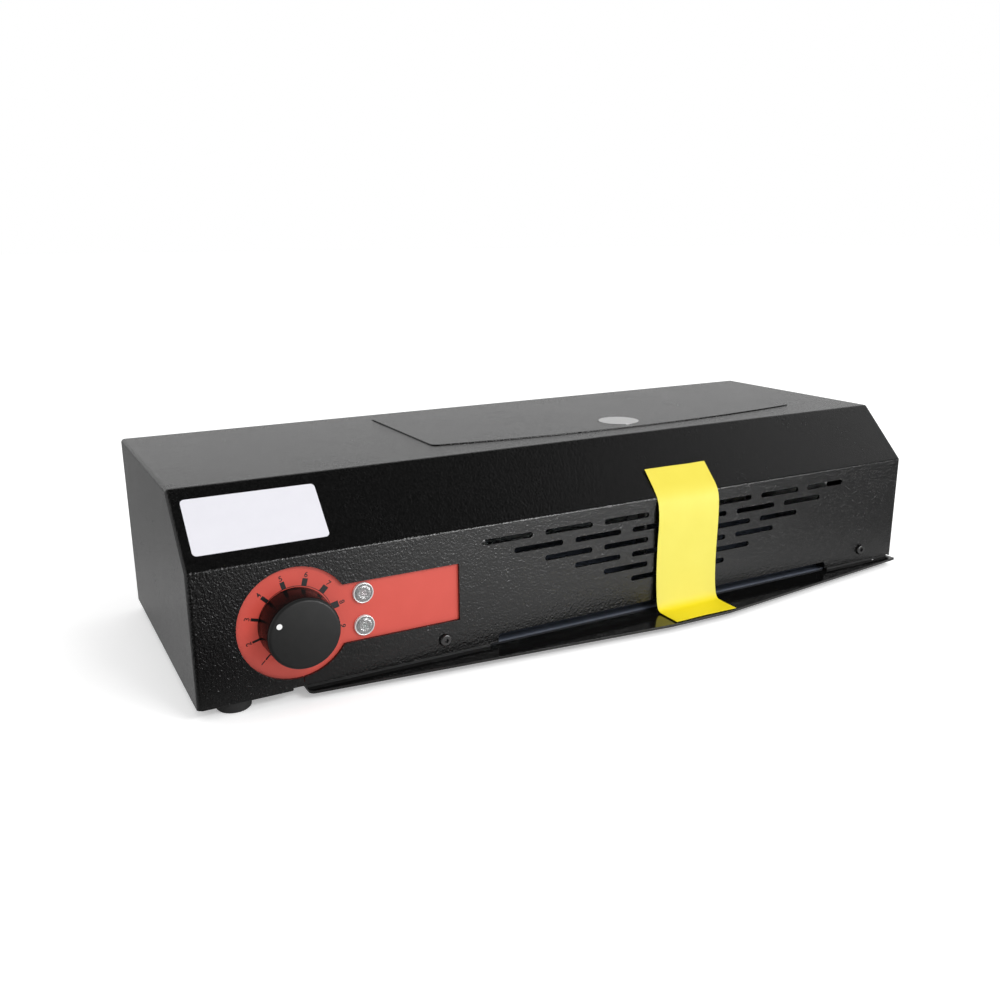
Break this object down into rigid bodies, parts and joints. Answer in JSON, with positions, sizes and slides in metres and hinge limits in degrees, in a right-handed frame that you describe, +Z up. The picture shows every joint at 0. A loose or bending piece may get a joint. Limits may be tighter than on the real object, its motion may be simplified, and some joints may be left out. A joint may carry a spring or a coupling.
{
  "type": "thermal stencil printer",
  "caption": "Tabletop thermal stencil printer: folded black cover with slotted vents, red dial panel, front tray, heated glass drum, drive gears, hinged lid, fan and rear fittings.",
  "frame": {"origin": "under the middle of the whole machine, at the level its feet stand on", "axes": "+X along the front from the dial's end to the other end, +Y from the front to the back, +Z up"},
  "size_m": [0.44, 0.186, 0.1007],
  "materials": {
    "cover_coat": "coarse hammered black powder coat",
    "pan_coat": "satin black powder coat",
    "tray_gloss": "gloss black enamel",
    "guide_coat": "satin blue-grey paint",
    "panel_red": "satin red print on sheet",
    "knob_black": "moulded, satin face",
    "pointer_white": "moulded",
    "bezel_chrome": "polished",
    "lens_warm": "clear moulded lens, warm tint",
    "lens_cool": "clear moulded lens, cool tint",
    "label_white": "smooth film",
    "strip_yellow": "smooth film",
    "badge_foil": "satin foil",
    "black_steel": "blackened steel",
    "zinc_steel": "zinc plated",
    "turned_steel": "turned",
    "foot_rubber": "moulded",
    "roller_rubber": "ground silicone rubber",
    "drum_glass": "polished",
    "hub_alloy": "turned",
    "gear_nylon": "moulded",
    "bearing_plastic": "moulded",
    "ceramic": "unglazed ceramic",
    "bright_aluminium": "polished sheet",
    "motor_steel": "plated",
    "sensor_brass": "plain",
    "board_green": "lacquered laminate",
    "parts_black": "moulded and potted",
    "fitting_black": "moulded",
    "rocker_black": "moulded",
    "guard_chrome": "plated steel"
  },
  "bodies": {
    "chassis": {"cover": "cover_coat", "base_pan": "pan_coat", "infeed_tray": "tray_gloss", "small_screws": "zinc_steel", "rubber_feet": "foot_rubber", "foot_screws": "zinc_steel", "cover_screws": "black_steel", "control_plate": "panel_red", "lamp_bezels": "bezel_chrome", "upper_lens": "lens_warm", "lower_lens": "lens_cool", "potentiometer": "motor_steel", "control_board": "board_green", "board_posts": "sensor_brass", "power_board": "board_green", "board_parts": "parts_black", "lid_ledge": "zinc_steel", "hinge_brackets": "zinc_steel", "hinge_pins": "turned_steel", "blank_label": "label_white", "transport_strip": "strip_yellow", "left_side_frame": "zinc_steel", "right_side_frame": "zinc_steel", "tie_bars": "zinc_steel", "frame_buffers": "foot_rubber", "transport_screws": "zinc_steel", "drum_bearings": "bearing_plastic", "roller_bushes": "bearing_plastic", "lamp_tube": "drum_glass", "lamp_caps": "ceramic", "reflector": "bright_aluminium", "lamp_bracket": "zinc_steel", "gear_plate": "zinc_steel", "gear_plate_spacers": "zinc_steel", "drive_motor": "motor_steel", "entry_guides": "guide_coat", "exit_guide": "guide_coat", "heat_sensor": "sensor_brass", "fan_frame": "fitting_black", "fan_guard": "guard_chrome", "power_inlet": "fitting_black", "inlet_pins": "sensor_brass", "switch_housing": "fitting_black"},
    "knob": {"dial_knob": "knob_black", "knob_dot": "pointer_white", "knob_shaft": "turned_steel"},
    "rocker": {"switch_rocker": "rocker_black"},
    "lid": {"top_lid": "cover_coat", "lid_badge": "badge_foil"},
    "drum": {"glass_drum": "drum_glass", "left_drum_hub": "hub_alloy", "right_drum_hub": "hub_alloy", "drum_gear": "gear_nylon"},
    "roller": {"drive_roller": "roller_rubber", "roller_shaft": "turned_steel", "roller_gear": "gear_nylon"},
    "pinion": {"motor_shaft": "turned_steel", "motor_pinion": "gear_nylon"},
    "rotor": {"fan_rotor": "fitting_black"}
  },
  "joints": [
    {"name": "knob_turn", "type": "hinge", "parent": "chassis", "child": "knob", "pos_m": [-0.1737, -0.0715, 0.0382], "axis": [0, 1, 0], "range_deg": [-71, 199]},
    {"name": "rocker_tilt", "type": "hinge", "parent": "chassis", "child": "rocker", "pos_m": [-0.124, 0.087, 0.036], "axis": [-1, 0, 0], "range_deg": [0, 18]},
    {"name": "lid_open", "type": "hinge", "parent": "chassis", "child": "lid", "pos_m": [0.0485, 0.0565, 0.0948], "axis": [-1, 0, 0], "range_deg": [0, 100]},
    {"name": "drum_spin", "type": "hinge", "parent": "chassis", "child": "drum", "pos_m": [0.0455, 0.0135, 0.0491], "axis": [1, 0, 0], "continuous": true},
    {"name": "roller_spin", "type": "hinge", "parent": "chassis", "child": "roller", "pos_m": [0.0455, 0.0135, 0.017], "axis": [1, 0, 0], "continuous": true},
    {"name": "pinion_spin", "type": "hinge", "parent": "chassis", "child": "pinion", "pos_m": [0.168, 0.04366, 0.06008], "axis": [1, 0, 0], "continuous": true},
    {"name": "fan_spin", "type": "hinge", "parent": "chassis", "child": "rotor", "pos_m": [0.0455, 0.0795, 0.0675], "axis": [0, 1, 0], "continuous": true}
  ],
  "couplings": [
    {"joint": "roller_spin", "follows": "drum_spin", "ratio": -3},
    {"joint": "pinion_spin", "follows": "drum_spin", "ratio": -3}
  ]
}
